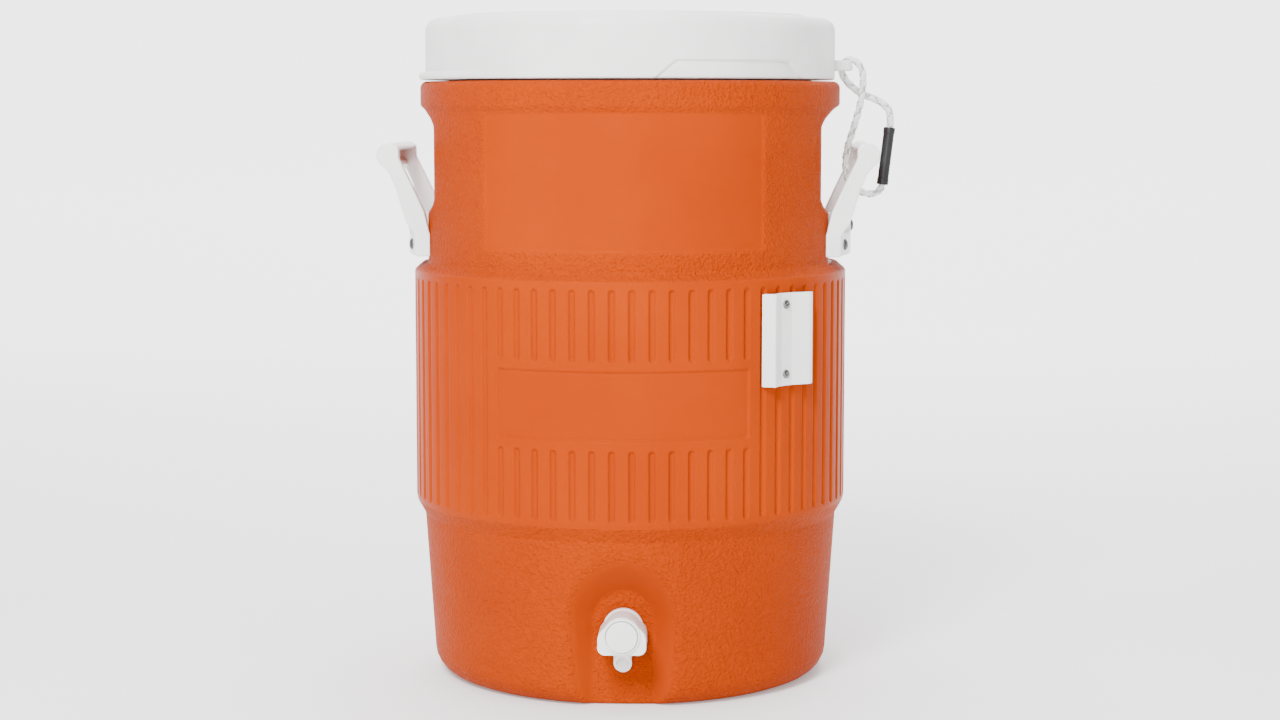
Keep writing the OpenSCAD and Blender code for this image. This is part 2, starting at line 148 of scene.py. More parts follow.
def refine(profile, steps):
    """An (r, z) polyline with more points: steps(r, z) is the step to take there."""
    out = [profile[0]]
    for (r0, z0), (r1, z1) in zip(profile, profile[1:]):
        size = math.hypot(r1 - r0, z1 - z0)
        if size < 1e-6:
            continue
        at = 0.0
        while at < size - 1e-9:
            mid = at / size
            step = steps(r0 + (r1 - r0) * mid, z0 + (z1 - z0) * mid)
            at = min(size, at + step)
            if size - at < step * 0.4:
                at = size
            out.append((r0 + (r1 - r0) * at / size, z0 + (z1 - z0) * at / size))
    return out


def revolve(name, profile, columns=192, closed=False):
    """A turned solid about Z from an (r, z) outline. Ends on the axis are closed with a point."""
    points, faces = [], []
    ring_rows = [p for p in profile if p[0] > 1e-6]
    for r, z in ring_rows:
        for k in range(columns):
            a = 2 * math.pi * k / columns
            points.append((r * math.cos(a), r * math.sin(a), z))
    faces += grid_faces(len(ring_rows), columns)
    if closed:
        last = (len(ring_rows) - 1) * columns
        for k in range(columns):
            faces.append((last + k, last + (k + 1) % columns, (k + 1) % columns, k))
    else:
        for end, row in ((profile[0], 0), (profile[-1], len(ring_rows) - 1)):
            if end[0] > 1e-6:
                continue
            tip = len(points)
            points.append((0, 0, end[1]))
            base = row * columns
            for k in range(columns):
                a, b = base + k, base + (k + 1) % columns
                faces.append((tip, b, a) if row == 0 else (tip, a, b))
    obj = make_object(name, points, faces)
    face_out(obj)
    return obj


def face_out(obj):
    """Turns every face of a closed mesh outwards."""
    bm = bmesh.new()
    bm.from_mesh(obj.data)
    bmesh.ops.recalc_face_normals(bm, faces=bm.faces)
    bm.to_mesh(obj.data)
    bm.free()


def place(obj, matrix):
    """Moves the mesh itself, with the matrix's shift in millimetres."""
    moved = matrix.copy()
    moved.translation = moved.translation * MM
    obj.data.transform(moved)
    return obj


def join(name, parts):
    """One object from several."""
    bm = bmesh.new()
    for part in parts:
        bm.from_mesh(part.data)
    mesh = bpy.data.meshes.new(name)
    bm.to_mesh(mesh)
    bm.free()
    for material in parts[0].data.materials:
        mesh.materials.append(material)
    for part in parts:
        bpy.data.objects.remove(part)
    mesh.polygons.foreach_set("use_smooth", [True] * len(mesh.polygons))
    obj = bpy.data.objects.new(name, mesh)
    bpy.context.scene.collection.objects.link(obj)
    return obj


def apply_modifiers(obj):
    """Makes the object's mesh what its modifiers show."""
    graph = bpy.context.evaluated_depsgraph_get()
    mesh = bpy.data.meshes.new_from_object(obj.evaluated_get(graph))
    obj.modifiers.clear()
    obj.data = mesh
    obj.data.polygons.foreach_set("use_smooth", [True] * len(obj.data.polygons))
    return obj


def moulded(obj, voxel, smoothing, factor=0.5):
    """Welds overlapping solids into one moulding with softened edges."""
    remesh = obj.modifiers.new("weld", "REMESH")
    remesh.mode = "VOXEL"
    remesh.voxel_size = voxel * MM
    remesh.use_smooth_shade = True
    soften = obj.modifiers.new("soften", "SMOOTH")
    soften.iterations = smoothing
    soften.factor = factor
    return apply_modifiers(obj)


def cut_with(obj, cutters):
    """Takes the cutters out of an object and deletes them."""
    for cutter in cutters:
        boolean = obj.modifiers.new("cut", "BOOLEAN")
        boolean.operation = "DIFFERENCE"
        boolean.solver = "EXACT"
        boolean.object = cutter
        apply_modifiers(obj)
        bpy.data.objects.remove(cutter)
    return obj


def prism(name, outline, low, high):
    """A closed outline of (x, y) points extruded along Z, from low to high."""
    n = len(outline)
    points = [(a, b, low) for a, b in outline] + [(a, b, high) for a, b in outline]
    faces = [tuple(range(n - 1, -1, -1)), tuple(range(n, 2 * n))]
    faces += [(k, (k + 1) % n, n + (k + 1) % n, n + k) for k in range(n)]
    obj = make_object(name, points, faces, smooth=False)
    face_out(obj)
    return obj


def circle_outline(x, y, r, n=40, start=0.0, turn=360.0):
    """Points of a circle, or of an arc with both its ends when it turns less than a full circle."""
    closed = abs(turn) >= 360
    count = n if closed else n + 1
    angles = [math.radians(start + turn * k / n) for k in range(count)]
    return [(x + r * math.cos(a), y + r * math.sin(a)) for a in angles]


# Matrices that stand a prism up: its Z goes along Y or along X
ALONG_Y = Matrix(((1, 0, 0, 0), (0, 0, 1, 0), (0, 1, 0, 0), (0, 0, 0, 1)))
ALONG_X = Matrix(((0, 0, 1, 0), (1, 0, 0, 0), (0, 1, 0, 0), (0, 0, 0, 1)))


def across(name, outline, y0, y1):
    """An outline in X and Z extruded along Y."""
    obj = place(prism(name, outline, y0, y1), ALONG_Y)
    face_out(obj)
    return obj


# ---------------------------------------------------------------- materials

def new_material(name):
    material = bpy.data.materials.new(name)
    material.use_nodes = True
    nodes, links = material.node_tree.nodes, material.node_tree.links
    return material, nodes, links, nodes["Principled BSDF"]


def noise(nodes, links, vector, scale, detail=3.0, rough=0.5):
    node = nodes.new("ShaderNodeTexNoise")
    node.inputs["Scale"].default_value = scale
    node.inputs["Detail"].default_value = detail
    node.inputs["Roughness"].default_value = rough
    links.new(vector, node.inputs["Vector"])
    return node.outputs["Fac"]


def spread(nodes, links, value, low, high, out_low, out_high):
    node = nodes.new("ShaderNodeMapRange")
    for key, number in (("From Min", low), ("From Max", high), ("To Min", out_low), ("To Max", out_high)):
        node.inputs[key].default_value = number
    links.new(value, node.inputs["Value"])
    return node.outputs["Result"]


def math_node(nodes, links, operation, a, b):
    node = nodes.new("ShaderNodeMath")
    node.operation = operation
    for socket, value in zip(node.inputs, (a, b)):
        if isinstance(value, (int, float)):
            socket.default_value = value
        else:
            links.new(value, socket)
    return node.outputs[0]


def mix_color(nodes, links, factor, low, high):
    node = nodes.new("ShaderNodeMix")
    node.data_type = "RGBA"
    links.new(factor, node.inputs["Factor"])
    node.inputs["A"].default_value = (*low, 1)
    node.inputs["B"].default_value = (*high, 1)
    return node.outputs["Result"]


def bump(nodes, links, height, strength, distance, below=None):
    node = nodes.new("ShaderNodeBump")
    node.inputs["Strength"].default_value = strength
    node.inputs["Distance"].default_value = distance
    links.new(height, node.inputs["Height"])
    if below is not None:
        links.new(below, node.inputs["Normal"])
    return node.outputs["Normal"]


def object_space(nodes):
    return nodes.new("ShaderNodeTexCoord").outputs["Object"]


def plastic(name, color, shade, rough=0.35, rough_spread=0.06, grain=900, grain_depth=0.00004,
            strength=0.25, patches=18.0, specular=0.5):
    """Moulded plastic: slow changes of shade and gloss, and a fine mould grain."""
    material, nodes, links, shader = new_material(name)
    where = object_space(nodes)
    slow = noise(nodes, links, where, patches, 4.0)
    tone = spread(nodes, links, slow, 0.35, 0.65, 0, 1)
    links.new(mix_color(nodes, links, tone, color, shade), shader.inputs["Base Color"])
    fine = noise(nodes, links, where, grain, 4.0, 0.6)
    gloss = math_node(nodes, links, "ADD", spread(nodes, links, slow, 0.3, 0.7, -0.5, 0.5), fine)
    links.new(spread(nodes, links, gloss, 0, 1, rough - rough_spread, rough + rough_spread),
              shader.inputs["Roughness"])
    links.new(bump(nodes, links, fine, strength, grain_depth), shader.inputs["Normal"])
    shader.inputs["Specular IOR Level"].default_value = specular
    return material


def orange_plastic():
    """Satin orange polyethylene: smooth on the belt and the panels, pebbled like leather elsewhere."""
    material, nodes, links, shader = new_material("orange_body")
    where = object_space(nodes)
    mask = nodes.new("ShaderNodeAttribute")
    mask.attribute_name = "pebble"
    slow = noise(nodes, links, where, 9.0, 4.0)
    tone = spread(nodes, links, slow, 0.35, 0.65, 0, 1)
    links.new(mix_color(nodes, links, tone, ORANGE, ORANGE_SHADE), shader.inputs["Base Color"])
    # wrinkles: noise that bends a finer noise, so that the cells run together
    warp = nodes.new("ShaderNodeVectorMath")
    warp.operation = "MULTIPLY_ADD"
    bend = nodes.new("ShaderNodeTexNoise")
    bend.inputs["Scale"].default_value = 160
    links.new(where, bend.inputs["Vector"])
    links.new(bend.outputs["Color"], warp.inputs[0])
    warp.inputs[1].default_value = (0.006, 0.006, 0.006)
    links.new(where, warp.inputs[2])
    cells = nodes.new("ShaderNodeTexVoronoi")
    cells.feature = "SMOOTH_F1"
    cells.inputs["Scale"].default_value = 430
    cells.inputs["Smoothness"].default_value = 0.6
    links.new(warp.outputs["Vector"], cells.inputs["Vector"])
    grit = noise(nodes, links, warp.outputs["Vector"], 620, 3.0, 0.6)
    wrinkle = math_node(nodes, links, "ADD", cells.outputs["Distance"],
                        math_node(nodes, links, "MULTIPLY", grit, 0.8))
    level = math_node(nodes, links, "SUBTRACT", wrinkle, 0.85)
    pebble = math_node(nodes, links, "MULTIPLY", level, mask.outputs["Fac"])
    ripple = noise(nodes, links, where, 55, 2.0)
    skin = bump(nodes, links, ripple, 0.18, 0.0004)
    links.new(bump(nodes, links, pebble, 0.95, 0.0012, skin), shader.inputs["Normal"])
    fine = noise(nodes, links, where, 300, 3.0)
    gloss = math_node(nodes, links, "ADD", math_node(nodes, links, "MULTIPLY", mask.outputs["Fac"], 0.16),
                      spread(nodes, links, fine, 0, 1, 0.27, 0.37))
    links.new(gloss, shader.inputs["Roughness"])
    shader.inputs["Specular IOR Level"].default_value = 0.03
    shader.inputs["Specular Tint"].default_value = (1.0, 0.42, 0.1, 1)
    return material


def metal(name, color, rough):
    """Screw steel, with fine scratches of gloss."""
    material, nodes, links, shader = new_material(name)
    where = object_space(nodes)
    fine = noise(nodes, links, where, 1500, 4.0)
    links.new(mix_color(nodes, links, fine, color, [c * 0.8 for c in color]), shader.inputs["Base Color"])
    links.new(spread(nodes, links, fine, 0.2, 0.8, rough, rough + 0.15), shader.inputs["Roughness"])
    links.new(bump(nodes, links, fine, 0.2, 0.00003), shader.inputs["Normal"])
    shader.inputs["Metallic"].default_value = 1.0
    return material


def rubber(name, color, rough=0.55):
    return plastic(name, color, [c * 0.8 for c in color], rough, rough_spread=0.1, grain=1400,
                   grain_depth=0.00005, strength=0.4, patches=60, specular=0.35)


def rope_fibre(name, color, shade):
    """Braided filament: fine lengthwise fibres seen as small streaks."""
    material, nodes, links, shader = new_material(name)
    where = object_space(nodes)
    fibres = nodes.new("ShaderNodeMapping")
    fibres.inputs["Scale"].default_value = (1, 1, 0.25)
    links.new(where, fibres.inputs["Vector"])
    fine = noise(nodes, links, fibres.outputs["Vector"], 3200, 3.0)
    links.new(mix_color(nodes, links, fine, color, shade), shader.inputs["Base Color"])
    links.new(bump(nodes, links, fine, 0.5, 0.0001), shader.inputs["Normal"])
    shader.inputs["Roughness"].default_value = 0.6
    shader.inputs["Sheen Weight"].default_value = 0.2
    return material


ORANGE = (0.35, 0.0385, 0.0004)
ORANGE_SHADE = (0.318, 0.032, 0.0003)
WHITE = (0.86, 0.86, 0.845)

MATERIALS = {
    "orange_body": orange_plastic(),
    "white_plastic": plastic("white_plastic", WHITE, (0.77, 0.775, 0.765), 0.34, 0.05, 700, 0.00003),
    "white_lid": plastic("white_lid", WHITE, (0.76, 0.765, 0.75), 0.5, 0.06, 850, 0.00016, 0.5),
    "white_liner": plastic("white_liner", (0.82, 0.82, 0.8), (0.79, 0.79, 0.77), 0.3, 0.05, 500),
    "white_spigot": plastic("white_spigot", (0.82, 0.82, 0.8), (0.79, 0.795, 0.78), 0.26, 0.04, 900),
    "foam": plastic("foam", (0.72, 0.6, 0.3), (0.66, 0.52, 0.25), 0.9, 0.05, 400, 0.0006, 0.9, 40),
    "dark_steel": metal("dark_steel", (0.11, 0.11, 0.115), 0.3),
    "bright_steel": metal("bright_steel", (0.20, 0.20, 0.195), 0.14),
    "gasket_rubber": rubber("gasket_rubber", (0.3, 0.3, 0.3)),
    "black_rubber": rubber("black_rubber", (0.012, 0.012, 0.013), 0.42),
    "rope": rope_fibre("rope", (0.8, 0.81, 0.8), (0.6, 0.62, 0.62)),
    "rope_tracer": rope_fibre("rope_tracer", (0.42, 0.46, 0.44), (0.28, 0.32, 0.3)),
}


def finish_piece(obj, slot, body, *nodes):
    """Gives a finished piece its material and its body, and hides the CAD nodes that it stands for."""
    if not obj.data.materials:
        obj.data.materials.append(MATERIALS[slot])
    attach(obj, body)
    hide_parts(*nodes)
    return obj


# ---------------------------------------------------------------- tether rope

ROPE_D = 6.0
ROPE_ROUTE = [
    (196.4, 0, 412), (197.2, 0, 420), (195.8, 1, 428), (189.8, 3, 434), (182, 4, 437.5),
    (174.5, 4, 441), (167.5, 3, 446), (162.2, 1, 452), (159.9, 0, 458.3), (161.4, 0, 463.2),
    (166, -0.5, 465.6), (171.3, -2, 464), (175.2, -3.5, 458), (176.2, -4, 449), (175, -4, 437),
    (172, -4, 424), (168.3, -3, 411), (164.5, -2, 398), (163.6, -1, 386), (165.5, 0, 376),
    (170.8, 0, 369), (177.8, 0, 365.2), (185.3, 0, 364.8), (190.4, 0, 368.5), (191.9, 0, 375),
]
SLEEVE_LOW = (191.6, 0, 371.6)
SLEEVE_HIGH = (196.7, 0, 414.8)
SLEEVE_R = 4.4
BRAID_PITCH = 16.0      # length of one turn of a strand
BRAID_STRANDS = 4       # in each direction
BRAID_R = 1.75          # from the rope's centre to a strand's centre
BRAID_LIFT = 0.3        # how far a strand rises as it passes over another
STRAND_WIDE = 1.1
STRAND_THICK = 0.85


def spline(points, steps):
    """A smooth curve through the points, as many steps as asked between two of them."""
    p = np.array(points, float)
    out = []
    for i in range(len(p) - 1):
        a, b = p[max(i - 1, 0)], p[i]
        c, d = p[i + 1], p[min(i + 2, len(p) - 1)]
        for s in range(steps):
            t = s / steps
            out.append(0.5 * (2 * b + (c - a) * t + (2 * a - 5 * b + 4 * c - d) * t * t
                              + (3 * b - a - 3 * c + d) * t ** 3))
    return np.array(out + [p[-1]])


def frames_along(path):
    """Two side directions at each point of a path, turning as little as possible."""
    tangent = np.gradient(path, axis=0)
    tangent /= np.linalg.norm(tangent, axis=1)[:, None]
    side = np.cross((0, 1, 0), tangent[0])
    sides = []
    for t in tangent:
        side = side - t * side.dot(t)
        side /= np.linalg.norm(side)
        sides.append(side.copy())
    sides = np.array(sides)
    return sides, np.cross(tangent, sides)


def even_path(points, step):
    """The same curve with points a fixed step apart."""
    fine = spline(points, 40)
    run = np.concatenate(([0], np.cumsum(np.linalg.norm(np.diff(fine, axis=0), axis=1))))
    count = int(round(run[-1] / step))
    at = np.linspace(0, run[-1], count + 1)
    return at, np.stack([np.interp(at, run, fine[:, k]) for k in range(3)], 1)


def tube_mesh(centres, across_a, across_b, wide, thick, sides=8):
    """Points and faces of a closed tube with an oval section, given at each centre."""
    points = []
    for k in range(sides):
        a = 2 * math.pi * k / sides
        points.append(centres + across_a * (wide * math.cos(a)) + across_b * (thick * math.sin(a)))
    points = np.stack(points, 1).reshape(-1, 3)
    rows = len(centres)
    faces = grid_faces(rows, sides)
    faces.append(tuple(range(sides - 1, -1, -1)))
    faces.append(tuple((rows - 1) * sides + k for k in range(sides)))
    return points.tolist(), faces


def make_rope():
    """A braid of strands in both directions over a core, two of them in the tracer's colour."""
    run, path = even_path(ROPE_ROUTE, 0.6)
    side, up = frames_along(path)
    points, faces, tracer = [], [], []
    core = tube_mesh(path, side, up, BRAID_R, BRAID_R, 10)
    parts = [(core, False)]
    for hand in (1, -1):
        for strand in range(BRAID_STRANDS):
            angle = 2 * math.pi * (strand / BRAID_STRANDS + hand * run / BRAID_PITCH)
            crossing = 2 * math.pi * run / BRAID_PITCH * BRAID_STRANDS
            radius = BRAID_R + hand * BRAID_LIFT * np.sin(crossing + math.pi * strand)
            out = side * np.cos(angle)[:, None] + up * np.sin(angle)[:, None]
            centres = path + out * radius[:, None]
            along = np.gradient(centres, axis=0)
            along /= np.linalg.norm(along, axis=1)[:, None]
            beside = np.cross(along, out)
            beside /= np.linalg.norm(beside, axis=1)[:, None]
            parts.append((tube_mesh(centres, beside, out, STRAND_WIDE, STRAND_THICK), strand == 0))
    for (part_points, part_faces), is_tracer in parts:
        start = len(points)
        points += part_points
        faces += [tuple(start + i for i in face) for face in part_faces]
        tracer += [int(is_tracer)] * len(part_faces)
    rope = make_object("braided_rope", points, faces)
    rope.data.materials.append(MATERIALS["rope"])
    rope.data.materials.append(MATERIALS["rope_tracer"])
    rope.data.polygons.foreach_set("material_index", tracer)
    face_out(rope)
    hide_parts("tether_rope")
    return rope


def make_sleeve():
    """A rubber tube with a low collar at each end."""
    low, high = Vector(SLEEVE_LOW), Vector(SLEEVE_HIGH)
    size = (high - low).length
    inner = ROPE_D / 2 + 0.15
    outline = fillet([
        (inner, 0, 0), (SLEEVE_R - 0.2, 0, 0.5), (SLEEVE_R, 0.6, 0.3), (SLEEVE_R, 4.2, 0.2),
        (SLEEVE_R - 0.25, 4.7, 0.2), (SLEEVE_R - 0.25, size - 4.7, 0.2), (SLEEVE_R, size - 4.2, 0.2),
        (SLEEVE_R, size - 0.6, 0.3), (SLEEVE_R - 0.2, size, 0.5), (inner, size, 0)], 3)
    sleeve = revolve("rope_sleeve", outline, 40, closed=True)
    turn = Vector((0, 0, 1)).rotation_difference(high - low).to_matrix().to_4x4()
    place(sleeve, Matrix.Translation(low) @ turn)
    return finish_piece(sleeve, "black_rubber", "cooler", "tether_sleeve")


sleeve = make_sleeve()
rope = make_rope()
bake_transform(rope)


# ---------------------------------------------------------------- body

BASE_R = 150.5
WAIST_R = 157.4
BELT_R = 164.0
UPPER_R = 157.0
RIM_R = 158.8
RIM_Z = 449.3
RIM_INNER_R = 140.0
SHELL = 3.0
BELT_LOW, BELT_FULL, BELT_TOP, SHOULDER = 122.5, 134.5, 308.0, 314.0
PANEL_LOW, PANEL_HIGH, PANEL_HALF, PANEL_DEEP = 328.7, 425.5, 39.5, 1.0
LABEL_LOW, LABEL_HIGH, LABEL_HALF, LABEL_DEEP = 195.8, 245.0, 33.25, 1.5
FLUTES = 72
FLUTE_R, FLUTE_DEEP = 2.6, 2.0
FLUTE_LOW, FLUTE_HIGH = 137.5, 303.0
FLUTE_SPLIT_LOW, FLUTE_SPLIT_HIGH = 189.0, 251.5
FLUTE_EDGE = 0.35       # how far a groove's edge is rounded
PANEL_ARCH = 1.4        # rise of the panel's top edge in its middle
POCKET_EDGE = 2.4       # how far the edge of a hand pocket is rounded
SPIGOT_FLOOR_Y, SPIGOT_FLOOR_R, SPIGOT_FLOOR_Z, SPIGOT_SLOPE = -134.0, 21.8, 61.3, 1.208
SPIGOT_CORNER, SPIGOT_RIM = 1.2, 7.0    # rounding at the pocket's floor and where it meets the body
SPIGOT_POCKET_TOP = 122.0

BODY_CORNERS = [
    (0, 0, 0), (149.2, 0, 19), (WAIST_R, BELT_LOW, 2), (BELT_R - 0.8, BELT_FULL - 1.6, 1.6),
    (BELT_R, BELT_FULL + 2, 3), (BELT_R, BELT_TOP, 3), (UPPER_R, SHOULDER, 4),
    (UPPER_R, RIM_Z - 22, 4), (RIM_R, RIM_Z - 18, 4), (RIM_R, RIM_Z, 5), (RIM_INNER_R, RIM_Z, 1),
    (RIM_INNER_R, RIM_Z - SHELL, 0),
]
# The flat pads and hand pockets at the sides: distance of their surface from the middle plane
POCKET_PROFILE = fillet([
    (230, 312.6, 0), (160, 313.2, 0), (149.6, 313.6, 1.2), (149.6, 351.5, 3), (144.8, 357.5, 3),
    (143, 362, 4), (143, 416.5, 9), (146.6, 422.3, 6), (152.9, 428.4, 4), (159.8, 432.3, 0),
    (230, 434, 0)], 6)


def body_step(r, z):
    """Largest step of the outline near a height, fine where the surface turns."""
    if r < BASE_R - 26:
        return 16.0
    edges = (BELT_LOW, BELT_FULL, FLUTE_LOW + 1, FLUTE_HIGH - 1, FLUTE_SPLIT_LOW - 1,
             FLUTE_SPLIT_HIGH + 1, LABEL_LOW, LABEL_HIGH, BELT_TOP + 3, SHOULDER, PANEL_LOW,
             PANEL_HIGH, 352, 358, 431)
    near = min(abs(z - e) for e in edges)
    coarse = 2.0 if z < 120 else 4.0
    return float(np.interp(near, (2.5, 7), (0.7, coarse)))


def body_columns():
    """Angles from the front, closer together across each flute."""
    half = (0, 0.26, 0.5, 0.7, 0.86, 1.02, 1.3, 1.85)
    cell = [-a for a in reversed(half[1:])] + list(half) + [2.5]
    pitch = 360 / FLUTES
    return np.array([pitch * (i + 0.5) + a for i in range(FLUTES) for a in cell])


def box_distance(s, z, half_s, z0, z1, corner):
    """Distance out of a rounded rectangle, negative inside."""
    ds = np.abs(s) - half_s + corner
    dz = np.abs(z - (z0 + z1) / 2) - (z1 - z0) / 2 + corner
    outside = np.hypot(np.maximum(ds, 0), np.maximum(dz, 0))
    return outside + np.minimum(np.maximum(ds, dz), 0) - corner


def flute_depth(angle, z, r):
    """Depth of the grooves: round in section and round at their ends."""
    pitch = 360 / FLUTES
    offset = (angle / pitch) % 1 - 0.5
    s = np.radians(offset * pitch) * r
    centre = angle - offset * pitch
    beside = np.abs((centre + 180) % 360 - 180) < LABEL_HALF
    reach = np.maximum(np.maximum(FLUTE_LOW + FLUTE_R - z, z - FLUTE_HIGH + FLUTE_R), 0)
    middle = np.maximum(np.minimum(z - FLUTE_SPLIT_LOW + FLUTE_R, FLUTE_SPLIT_HIGH + FLUTE_R - z), 0)
    reach = np.where(beside, np.maximum(reach, middle), reach)
    away = np.hypot(s, reach)
    groove = np.sqrt(np.maximum(FLUTE_R ** 2 - away ** 2, 0)) - (FLUTE_R - FLUTE_DEEP)
    return soft_max(groove, np.zeros_like(groove), FLUTE_EDGE)


def spigot_pocket_r(angle, z, r):
    """Radius of the spigot pocket's surface: a flat floor and walls that slope out to the body."""
    a = np.radians(angle)
    facing = np.cos(a) > 0.6
    found = r.copy()
    for _ in range(24):
        x = found * np.sin(a)
        away = np.hypot(x, np.maximum(z - SPIGOT_FLOOR_Z, 0))
        wall = np.maximum(away - SPIGOT_FLOOR_R, 0)
        depth = soft_max(wall / SPIGOT_SLOPE, np.zeros_like(wall), SPIGOT_CORNER)
        y = -SPIGOT_FLOOR_Y + depth
        found = 0.5 * found + 0.5 * y / np.maximum(np.cos(a), 0.3)
    return np.where(facing, found, 1e3)


def body_surface(angle, r, z):
    """Radius of the moulded surface, and how pebbled it is, for an outline point (r, z)."""
    side = np.abs((angle + 180) % 360 - 180)        # 0 at the front, 180 at the back
    s = np.radians((angle + 180) % 360 - 180) * r
    out = r.copy()
    pebble = np.ones_like(r)
    belt = (z > BELT_FULL - 3) & (z < BELT_TOP + 3)
    out = out - np.where(belt, flute_depth(angle, z, BELT_R), 0)
    label = box_distance(s, z, np.radians(LABEL_HALF) * BELT_R, LABEL_LOW, LABEL_HIGH, 2.0)
    out = out - LABEL_DEEP * smoothstep(0.6, -0.6, label)
    arch = PANEL_ARCH * (1 - (side / PANEL_HALF) ** 2)
    panel = box_distance(s, z - arch * smoothstep(360, 425, z), np.radians(PANEL_HALF) * UPPER_R,
                         PANEL_LOW, PANEL_HIGH, 3.0)
    out = out - PANEL_DEEP * smoothstep(1.5, -1.5, panel)
    pebble *= 1 - smoothstep(BELT_FULL - 2.5, BELT_FULL, z) * smoothstep(BELT_TOP + 2, BELT_TOP - 1, z)
    pebble *= smoothstep(-1.5, 2.5, panel)
    across_x = np.maximum(np.abs(np.sin(np.radians(angle))), 0.3)
    profile = np.array(sorted(POCKET_PROFILE, key=lambda p: p[1]))
    pocket = np.interp(z, profile[:, 1], profile[:, 0], left=1e3, right=1e3) / across_x
    sunk = smoothstep(-0.5, 0.8, out - pocket) * smoothstep(312, 318, z)
    out = soft_min(out, pocket, POCKET_EDGE)
    pebble *= 1 - sunk
    spigot = spigot_pocket_r(angle, z, r)
    low = z < SPIGOT_POCKET_TOP
    x = np.abs(spigot * np.sin(np.radians(angle)))
    from_floor = np.hypot(x, np.maximum(z - SPIGOT_FLOOR_Z, 0))
    floor = smoothstep(SPIGOT_FLOOR_R + 1.5, SPIGOT_FLOOR_R - 1, from_floor)
    inside = smoothstep(0.2, 3.5, out - spigot)
    pebble = np.where(low, pebble * (1 - inside * (1 - floor)), pebble)
    out = np.where(low, soft_min(out, spigot, SPIGOT_RIM), out)
    return out, pebble


def make_body():
    profile = refine(fillet(BODY_CORNERS, 6), body_step)[1:]
    columns = body_columns()
    r = np.array([p[0] for p in profile])[:, None] * np.ones(len(columns))
    z = np.array([p[1] for p in profile])[:, None] * np.ones(len(columns))
    angle = columns[None, :] * np.ones(r.shape)
    moulded_r, pebble = body_surface(angle, r, z)
    outer = (r > 122) & (z < RIM_Z - 6)
    out = np.where(outer, moulded_r, r)
    pebble = np.where(z < 0.01, 0, pebble)
    pebble = np.where((z > RIM_Z - 4) & (r < RIM_R - 4), 0, pebble)
    # the inside of the wall repeats every third row of the outside, one wall thickness in
    keep = [i for i in range(len(profile)) if profile[i][1] > SHELL and profile[i][0] > BASE_R - 12
            and profile[i][1] < RIM_Z - 6][::3]
    inside_r = out[keep][::-1] - SHELL
    inside_z = z[keep][::-1]
    floor_r = np.full((1, len(columns)), 120.0)
    rows_r = np.concatenate([out, inside_r, floor_r])
    rows_z = np.concatenate([z, inside_z, np.full((1, len(columns)), SHELL)])
    a = np.radians(columns)[None, :]
    points = np.stack([rows_r * np.sin(a), -rows_r * np.cos(a), rows_z], -1).reshape(-1, 3)
    rows, cols = rows_r.shape
    faces = grid_faces(rows, cols)
    points = points.tolist() + [(0, 0, 0), (0, 0, SHELL)]
    tip = rows * cols
    for k in range(cols):
        n = (k + 1) % cols
        faces.append((tip, n, k))
        faces.append((tip + 1, (rows - 1) * cols + k, (rows - 1) * cols + n))
    body = make_object("moulded_body", points, faces)
    face_out(body)
    values = np.concatenate([pebble.ravel(), np.zeros(len(points) - pebble.size)])
    attribute = body.data.attributes.new("pebble", "FLOAT", "POINT")
    attribute.data.foreach_set("value", values.astype(np.float32))
    return finish_piece(body, "orange_body", "cooler", "outer_shell")


make_body()


# ---------------------------------------------------------------- lid

LID_R = 154.8
LID_LOW, LID_STEP, LID_TOP = 450.5, 496.3, 498.3
LID_DISC_R = 133.4
LID_WALL = 3.5
TAB_X, TAB_R, TAB_MID, TAB_HALF = -13.6, 146.2, 453.4, 3.2
STEP_DEEP, STEP_HIGH = 1.6, 463.6
STEP_LEFT, STEP_LEFT_LEAN = 8.5, 5.8        # angle of its left end at the foot, and its lean to the top
STEP_RIGHT, STEP_RIGHT_LEAN = 56.0, 6.0
DISC_SAG = 0.4                              # how far the disc's middle lies below its edge
LUG_LOW, LUG_HIGH, LUG_X, LUG_R = 457.3, 465.3, 161.6, 7.0
LUG_HOLE_X, LUG_HOLE_R = 160.1, 3.7


def lid_step(r, z):
    """Step of the lid's outline: fine over the tab and the sunk step, coarse on the disc."""
    if r < 100:
        return 20.0
    if r < LID_R - 22:
        return 2.0
    return 0.45 if z < STEP_HIGH + 3 else 2.2


def lid_surface(angle, r, z):
    """Radius of the lid's skirt, with the pull tab at -X and the sunk step at the right of the front."""
    from_tab = np.radians(angle + 90)
    tab = TAB_X * -np.cos(from_tab) + np.sqrt(TAB_R ** 2 - (TAB_X * np.sin(from_tab)) ** 2)
    rise = np.clip(np.abs(z - TAB_MID) / TAB_HALF, 0, 1)
    tab = tab - TAB_HALF * (1 - np.sqrt(1 - rise ** 2)) - 8 * smoothstep(0.97, 1.0, rise)
    tab = np.where(np.cos(from_tab) > 0, tab, 0)
    out = np.where(z < TAB_MID + TAB_HALF + 1, soft_max(r, tab, 1.0), r)
    climb = (z - LID_LOW) / (STEP_HIGH - LID_LOW)
    left = STEP_LEFT + climb * STEP_LEFT_LEAN
    right = STEP_RIGHT - climb * STEP_RIGHT_LEAN
    sunk = np.maximum.reduce([np.radians(left - angle) * LID_R * 0.9,
                              np.radians(angle - right) * LID_R * 0.25, z - STEP_HIGH])
    deep = STEP_DEEP * smoothstep(0.35, -0.35, sunk)
    edge = 0.5 * np.exp(-((sunk + 0.9) / 0.55) ** 2) * (z < STEP_HIGH + 1)
    return out - deep - edge * smoothstep(0.2, -0.4, sunk)


